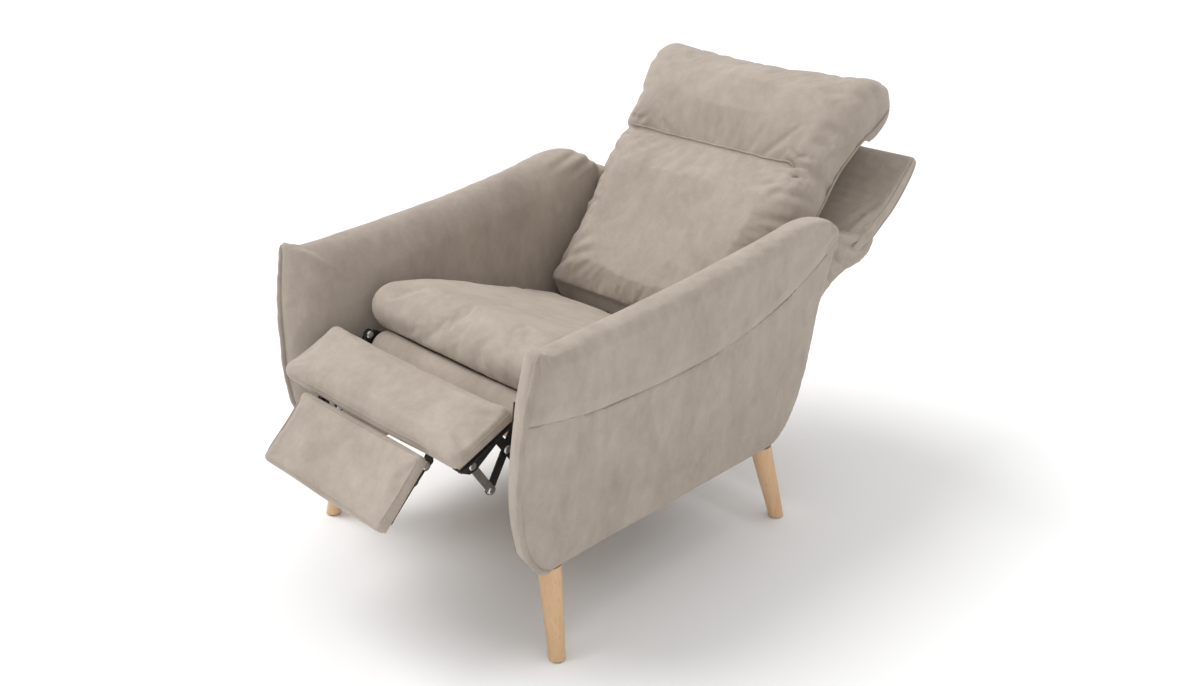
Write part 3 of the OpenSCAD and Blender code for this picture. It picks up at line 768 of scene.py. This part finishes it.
def backPiece():
    rings = roundedEnds(backProfile(), back["halfWidth"] - back["slack"] * 0.6, back["endRound"])
    piece = stackedLoops("back_cushion", rings, backPlace, taupe)
    remeshed(piece, 0.0060, 7)
    local = toLocal(vertexArray(piece), backPlace)
    local[:, 0] *= narrowed(local[:, 2]) / back["halfWidth"]
    fromSeam = local[:, 2] - back["headSeam"]
    forward = np.clip((-0.01 - local[:, 1]) / 0.03, 0, 1)
    local[:, 1] += 0.013 * np.exp(-(fromSeam / 0.011) ** 2) * forward
    ends = np.clip((np.abs(local[:, 0]) - 0.24) / 0.03, 0, 1)
    local[:, 0] -= np.sign(local[:, 0]) * 0.006 * np.exp(-(fromSeam / 0.011) ** 2) * forward * ends
    setVertices(piece, toWorld(local, backPlace))
    held = np.clip(1.3 - np.abs(fromSeam) / 0.006, 0, 1) * (forward > 0.2)
    held = np.maximum(held, np.clip((local[:, 1] + 0.002) / 0.006, 0, 1))
    puffed(piece, 0.022, pressure=3.6, held=held, looser=0.02)
    local = toLocal(vertexArray(piece), backPlace)
    corner = np.exp(-((np.abs(local[:, 0]) - 0.282) / 0.022) ** 2)
    high = np.clip((local[:, 2] - 0.615) / 0.05, 0, 1)
    thin = np.exp(-((local[:, 1] + 0.010) / 0.040) ** 2)
    local[:, 2] += back["earSize"] * corner * high * thin
    clear = np.interp(local[:, 1], *back["seatClear"])
    rounding = 0.15 * np.maximum(local[:, 2], 0) * (local[:, 2] < 0.05)
    local[:, 2] = np.maximum(local[:, 2], clear + rounding)
    widest = narrowed(local[:, 2]) + 0.013
    local[:, 0] = np.clip(local[:, 0], -widest, widest)
    setVertices(piece, toWorld(local, backPlace))
    subdivided(piece)
    rippled(piece, 0.13, 0.0024, 21)
    creased(piece, backPlace, backCreases())
    return piece


def backCreases():
    seam = back["headSeam"]
    front = back["rear"] - back["thick"]
    lines = []
    for side in (1, -1):
        strength = 1.0 if side > 0 else 0.55
        for reach, drop, width, depth in back["fan"]:
            path = [(side * 0.272, front + 0.028, seam - 0.010), (side * 0.250, front + 0.004, seam - 0.014),
                    (side * (0.262 - reach * 0.5), front - 0.004, seam - 0.008 - drop * 0.55),
                    (side * (0.262 - reach), front - 0.004, seam - 0.008 - drop)]
            lines.append((path, width, depth * strength))
        for start, reach, rise in back["tucks"]:
            path = [(side * start, front, seam + 0.010),
                    (side * (start - reach * 0.3), front, seam + rise * 0.5),
                    (side * (start - reach), front, seam + rise)]
            lines.append((path, 0.006, 0.0022))
        for reach, rise in back["slackFolds"]:
            path = [(side * 0.248, front + 0.026, 0.050),
                    (side * (0.240 - reach * 0.4), front + 0.004, 0.062 + rise * 0.4),
                    (side * (0.240 - reach), front, 0.062 + rise)]
            lines.append((path, 0.0095, 0.0036))
        for height, reach in back["pulls"]:
            path = [(side * 0.279, -0.030, height + 0.010), (side * 0.266, front + 0.016, height),
                    (side * (0.266 - reach), front - 0.002, height - 0.012)]
            lines.append((path, 0.008, 0.0022))
    return lines


def sidePiping(side):
    # up one side of the cushion, where its front and rear covers meet
    path = []
    for z in np.linspace(0.085, 0.640, 70):
        path.append((side * (narrowed(z) + 0.006), -0.016 + 0.030 * np.clip((z - 0.52) / 0.12, 0, 1), z))
    return [backPlace @ Vector(p) for p in path]


def sewnAcross(name, reach, y, z, count, lift, radius):
    # a sewn line over the back cushion, from the first x of reach to the second
    line = [backPlace @ Vector((x, y, z)) for x in np.linspace(*reach, count)]
    trimmed(cordAlong(name, laidOn(backCushion, line, lift), radius, shadedWeltTaupe), "back")


backCushion = backPiece()
upholstered(backCushion, "back", ("back_cushion",))
for side, name in ((1, "left"), (-1, "right")):
    path = laidOn(backCushion, sidePiping(side), 0.0016)
    trimmed(cordAlong("back_piping_" + name, path, back["pipingRadius"], shadedWeltTaupe), "back")
sewnAcross("back_top_piping", (-0.285, 0.285), -0.002, 0.690, 90, 0.0008, 0.0024)
sewnAcross("head_seam", (-0.258, 0.222), -0.102, back["headSeam"] + 0.0030, 80, 0.0002, 0.0021)
print("back filled")


shell = {
    "halfWidth": 0.350,
    "thick": 0.032,
    "foot": 0.330,
    "top": 0.590,
    # folds up from its foot: x, lean, length
    "folds": ((0.325, 0.02, 0.10), (0.300, 0.03, 0.13), (0.340, 0.0, 0.07), (0.276, 0.04, 0.08)),
    "weltRadius": 0.0024,
}


def shellProfile():
    foot, top, t = shell["foot"], shell["top"], shell["thick"]
    rear = np.vstack([curvePoints((0.074, foot), (0.096, 0.390), (0.130, 0.450), (0.130, 0.520), 20),
                      curvePoints((0.130, 0.520), (0.131, 0.560), (0.129, top - 0.006), (0.114, top), 10)])
    front = curvePoints((0.130 - t, top - 0.008), (0.130 - t, 0.500), (0.070, 0.410), (0.074 - t, foot), 26)
    return evenLoop(np.vstack([rear, [(0.112, top)], front, [(0.074 - t, foot)]]), 0.009)


def shellPiece():
    rings = roundedEnds(shellProfile(), shell["halfWidth"] - 0.002, 0.006, 4)
    piece = stackedLoops("outer_back", rings, backPlace, taupe)
    remeshed(piece, 0.0055, 2)
    local = toLocal(vertexArray(piece), backPlace)
    held = (np.abs(local[:, 0]) > 0.340).astype(float)
    puffed(piece, 0.005, pressure=1.5, held=held, frames=10)
    subdivided(piece)
    rippled(piece, 0.12, 0.0022, 31)
    lines = []
    for side in (1, -1):
        for x, lean, length in shell["folds"]:
            for y in ((0.040, 0.062, 0.090), (0.074, 0.095, 0.120)):          # on the front and on the rear
                path = [(side * x, y[0], 0.335), (side * (x + lean * 0.5), y[1], 0.335 + length * 0.5),
                        (side * (x + lean), y[2], 0.335 + length)]
                lines.append((path, 0.007, 0.003))
    creased(piece, backPlace, lines)
    return piece


outerBack = shellPiece()
upholstered(outerBack, "back", ("back_shell",))


def shellEdge(side, front):
    rear = np.vstack([curvePoints((0.074, shell["foot"]), (0.096, 0.390), (0.130, 0.450), (0.130, 0.520), 24),
                      curvePoints((0.130, 0.520), (0.131, 0.560), (0.129, 0.584), (0.114, 0.588), 12)])
    if front:
        rear = rear - (shell["thick"], 0)
        rear[-12:, 0] += np.linspace(0, 0.014, 12)
    return [backPlace @ Vector((side * shell["halfWidth"], p[0], p[1])) for p in rear]


for side, name in ((1, "left"), (-1, "right")):
    for front, face in ((True, "front"), (False, "rear")):
        path = laidOn(outerBack, shellEdge(side, front), 0.0006)
        trimmed(cordAlong("shell_welt_" + face + "_" + name, path, shell["weltRadius"], shadedWeltTaupe), "back")


backCovers = {
    # half width, top [y, z], bottom [y, z], how far its middle dips in
    "lower_back_cover": (0.236, (0.062, 0.336), (0.042, 0.100), 0.004),
    "upper_back_cover": (0.226, (0.0275, 0.560), (0.0275, 0.440), 0.0005),
}


def gridFaces(rows, columns):
    corners = [r * (columns + 1) + c for r in range(rows) for c in range(columns)]
    return [(a, a + 1, a + columns + 2, a + columns + 1) for a in corners]


def backCover(name):
    halfWidth, top, bottom, sag = backCovers[name]
    rows, columns = 26, 44
    verts = []
    for r in range(rows + 1):
        t = r / rows
        y = top[0] + (bottom[0] - top[0]) * t
        z = top[1] + (bottom[1] - top[1]) * t
        for c in range(columns + 1):
            dip = -sag * math.sin(math.pi * c / columns) * math.sin(math.pi * t)
            verts.append(backPlace @ Vector((halfWidth * (2 * c / columns - 1), y + dip, z)))
    piece = newPiece(name, verts, gridFaces(rows, columns), taupe)
    thick = piece.modifiers.new("thick", "SOLIDIFY")
    thick.thickness = 0.0022
    thick.offset = 0
    applyModifiers(piece)
    rippled(piece, 0.06, sag * 0.4, 41)
    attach(piece, "back")


for name in backCovers:
    backCover(name)


gather = {
    "inner": 0.288,
    "outer": 0.347,
    "folds": 4,
    # x of each deep fold and how far it strays
    "deepFolds": ((0.300, 0.006), (0.313, -0.004), (0.326, 0.005), (0.338, -0.003)),
    # folds on the outside, [y, z] from start to end
    "sideFolds": (((0.345, 0.425), (0.385, 0.385), (0.440, 0.366)),
                  ((0.350, 0.400), (0.395, 0.372), (0.420, 0.352)),
                  ((0.365, 0.430), (0.430, 0.396), (0.500, 0.380)),
                  ((0.340, 0.380), (0.360, 0.345), (0.372, 0.332))),
}


def gatherProfile(t):
    # a soft wedge from the arm's rear edge to the foot of the outer back, t across it
    wobble = 0.006 * math.sin(t * math.pi * gather["folds"] * 2)
    drop = 0.010 * math.sin(math.pi * t)
    return evenLoop(np.array([
        (0.314, 0.262), (0.326, 0.292), (0.352, 0.315), (0.382, 0.336 - drop * 0.3),
        (0.412, 0.348 - drop - wobble * 0.5), (0.440, 0.354 - drop + wobble),
        (0.474, 0.356 - drop * 0.5 + wobble), (0.502, 0.363 + wobble * 0.6),
        (0.520, 0.376), (0.528, 0.392), (0.512, 0.404), (0.480, 0.408),
        (0.444, 0.412 + wobble * 0.5), (0.408, 0.420 - wobble * 0.5),
        (0.376, 0.440), (0.352, 0.452), (0.336, 0.440), (0.324, 0.380), (0.314, 0.320),
    ]), 0.008)


def gatherPiece():
    count = 34
    rings = []
    for k in range(count + 1):
        t = k / count
        squeeze = 0.010 * (1 - math.sin(math.pi * t) ** 0.35)
        loop = shrunkLoop(gatherProfile(t), squeeze)
        marks = np.linspace(0, len(loop) - 1, 60)
        loop = np.stack([np.interp(marks, np.arange(len(loop)), loop[:, axis]) for axis in (0, 1)], 1)
        rings.append((gather["inner"] + (gather["outer"] - gather["inner"]) * t, loop))
    piece = stackedLoops("rear_gather_left", rings, chairPlace, taupe)
    remeshed(piece, 0.0042, 3)
    subdivided(piece)
    lines = []
    for x, slip in gather["deepFolds"]:
        path = [(x, 0.330, 0.298), (x + slip, 0.385, 0.336),
                (x + slip * 2, 0.450, 0.352), (x + slip, 0.515, 0.372)]
        lines.append((path, 0.0050, 0.0055))
    for start, middle, end in gather["sideFolds"]:
        lines.append(([(0.347, *start), (0.349, *middle), (0.347, *end)], 0.006, 0.005))
    creased(piece, chairPlace, lines)
    return piece


gatherLeft = gatherPiece()
gatherRight = mirrored(gatherLeft, "rear_gather_right")
for piece in (gatherLeft, gatherRight):
    upholstered(piece, "base")
    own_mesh(piece)
print("outer back covered")


def rearPanelPiece():
    line = curvePoints((0.308, 0.244), (0.305, 0.170), (0.292, 0.008), (0.214, 0.008), 40)
    after = np.gradient(line, axis=0)
    after /= np.linalg.norm(after, axis=1)[:, None]
    inward = np.stack([after[:, 1], -after[:, 0]], 1)
    if inward[0, 0] > 0:
        inward = -inward
    columns, rows = 56, len(line)
    verts, faces = [], []
    for depth in (0.0, 0.013):
        crown = 0.0035 if depth == 0 else 0.0
        for r, (point, push) in enumerate(zip(line, inward)):
            spot = point + push * depth
            half = armX - arm["thick"] / math.cos(armLean) + math.tan(armLean) * spot[1] + 0.001
            for c in range(columns + 1):
                across = 2 * c / columns - 1
                swell = crown * (1 - across ** 4) * math.sin(math.pi * r / (rows - 1))
                verts.append(chairPlace @ Vector((half * across, spot[0] + swell, spot[1])))
    layer = rows * (columns + 1)
    for face in gridFaces(rows - 1, columns):
        faces += [face, tuple(layer + corner for corner in reversed(face))]
    rim = list(range(columns + 1)) + [(r + 1) * (columns + 1) - 1 for r in range(1, rows)]
    rim += [(rows - 1) * (columns + 1) + c for c in range(columns - 1, -1, -1)]
    rim += [r * (columns + 1) for r in range(rows - 2, 0, -1)]
    for a, b in zip(rim, rim[1:] + rim[:1]):
        faces.append((a, b, layer + b, layer + a))
    piece = newPiece("rear_panel", verts, faces, taupe)
    soften = piece.modifiers.new("edge", "BEVEL")
    soften.width = 0.003
    soften.segments = 3
    applyModifiers(piece)
    rippled(piece, 0.10, 0.0014, 51)
    return piece


rearPanel = rearPanelPiece()
upholstered(rearPanel, "base", ("rear_panel",))


footrest = {
    "halfWidth": 0.262,
    "length": 0.150,
    "low": -0.0423,
    "round": 0.0165,
    "slack": 0.003,
    "cap": 0.007,                 # the furthest that filling it moves the cover
    "pressure": 3.0,
    "voxel": 0.0048,
    "smoothing": 3,
    "seamInset": 0.0,
    "seamHeight": -0.017,
}
flap = {
    "halfWidth": 0.180,
    "length": 0.150,
    "low": -0.0283,
    "round": 0.0075,
    "slack": 0.0015,
    "cap": 0.004,
    "pressure": 2.0,
    "voxel": 0.0040,
    "smoothing": 1,
    "seamInset": 0.0035,
    "seamHeight": -0.0015,
}


def roundedCorners(left, right, low, high, r, steps):
    # four corners with a radius of r, from the right high one round by the left
    corners = []
    for a, b, start in ((right - r, high - r, 0), (left + r, high - r, 90), (left + r, low + r, 180),
                        (right - r, low + r, 270)):
        for step in range(steps + 1):
            angle = math.radians(start + 90 / steps * step)
            corners.append((a + r * math.cos(angle), b + r * math.sin(angle)))
    return corners


def padPiece(name, pad, place):
    slack = pad["slack"]
    profile = roundedCorners(-pad["length"] + slack, -slack, pad["low"], -slack, pad["round"], 6)
    rings = roundedEnds(evenLoop(np.array(profile), 0.006), pad["halfWidth"] - slack, pad["round"] * 0.95)
    piece = stackedLoops(name, rings, place, taupe)
    remeshed(piece, pad["voxel"], pad["smoothing"])
    local = toLocal(vertexArray(piece), place)
    held = np.clip((pad["low"] + 0.006 - local[:, 2]) / 0.004, 0, 1)
    puffed(piece, pad["cap"], pad["pressure"], held)
    local = toLocal(vertexArray(piece), place)
    local[:, 2] = np.maximum(local[:, 2], pad["low"] + 0.0003)
    setVertices(piece, toWorld(local, place))
    subdivided(piece)
    return piece


footrestPad = padPiece("footrest_pad", footrest, footrestPlace)
rippled(footrestPad, 0.08, 0.0016, 61)
creased(footrestPad, footrestPlace, [
    ([(0.255, -0.030, -0.004), (0.225, -0.045, 0.001), (0.18, -0.050, 0.002)], 0.007, 0.0018),
    ([(0.256, -0.110, -0.004), (0.232, -0.100, 0.001), (0.20, -0.092, 0.002)], 0.007, 0.0018),
    ([(-0.255, -0.040, -0.004), (-0.230, -0.050, 0.001), (-0.19, -0.052, 0.002)], 0.007, 0.0016),
])
upholstered(footrestPad, "footrest", ("footrest_pad",))
flapPad = padPiece("flap_pad", flap, flapPlace)
rippled(flapPad, 0.07, 0.0009, 71)
upholstered(flapPad, "flap", ("flap_pad",))


def rimSeam(body, pad, place, piece):
    # once round a pad, a little in from its edge
    inset, side = pad["seamInset"], pad["halfWidth"] - pad["seamInset"]
    rim = evenLoop(np.array(roundedCorners(-side, side, inset - pad["length"], -inset, 0.010, 4)), 0.009)
    path = laidOn(piece, [place @ Vector((x, y, pad["seamHeight"])) for x, y in rim], 0.0003)
    trimmed(cordAlong(body + "_seam", path, 0.0013, shadedWeltTaupe, closed=True), body)


rimSeam("footrest", footrest, footrestPlace, footrestPad)
rimSeam("flap", flap, flapPlace, flapPad)
print("footrest padded")


def addFloor(size):
    finish, _, shader = newFinish("pale floor")
    shader.inputs["Base Color"].default_value = (0.93, 0.93, 0.93, 1)
    shader.inputs["Roughness"].default_value = 0.9
    shader.inputs["Specular IOR Level"].default_value = 0.0
    corners = [(-size, -size, 0), (size, -size, 0), (size, size, 0), (-size, size, 0)]
    newPiece("floor", corners, [(0, 1, 2, 3)], finish)


def addSunlight(name, fromWhere, strength, softness):
    # strength is what it adds to a surface that faces it, softness the width of the lit sky in degrees
    light = bpy.data.lights.new(name, "SUN")
    light.energy = strength * math.pi
    light.angle = math.radians(softness)
    lamp = bpy.data.objects.new(name, light)
    lamp.rotation_euler = Vector(fromWhere).to_track_quat("Z", "Y").to_euler()
    bpy.context.scene.collection.objects.link(lamp)


studio = {
    "sky": 0.46,
    "key": 0.62,
    "top": 0.30,
    "fill": 0.22,
    "floor": 40,                  # half the floor's side
}
view = {
    "lens": 37.71,
    "place": (1.70428, -1.68581, 1.46673),
    "down": 24.388,
    "turn": 44.615,
}

addFloor(studio["floor"])
addSunlight("key_light", (-0.75, -0.45, 1.15), studio["key"], 38)
addSunlight("top_light", (-0.10, 0.35, 1.0), studio["top"], 80)
addSunlight("fill_light", (1.0, -0.75, 0.35), studio["fill"], 70)
world = bpy.data.worlds.new("studio")
world.use_nodes = True
world.node_tree.nodes["Background"].inputs["Color"].default_value = (1, 1, 1, 1)
world.node_tree.nodes["Background"].inputs["Strength"].default_value = studio["sky"]
bpy.context.scene.world = world
bpy.context.scene.view_settings.view_transform = "Standard"

cameraData = bpy.data.cameras.new("camera")
cameraData.lens = view["lens"]
cameraData.sensor_width = 36
cameraData.sensor_fit = "HORIZONTAL"
camera = bpy.data.objects.new("camera", cameraData)
camera.location = view["place"]
camera.rotation_euler = (math.radians(90 - view["down"]), 0, math.radians(view["turn"]))
bpy.context.scene.collection.objects.link(camera)
bpy.context.scene.camera = camera
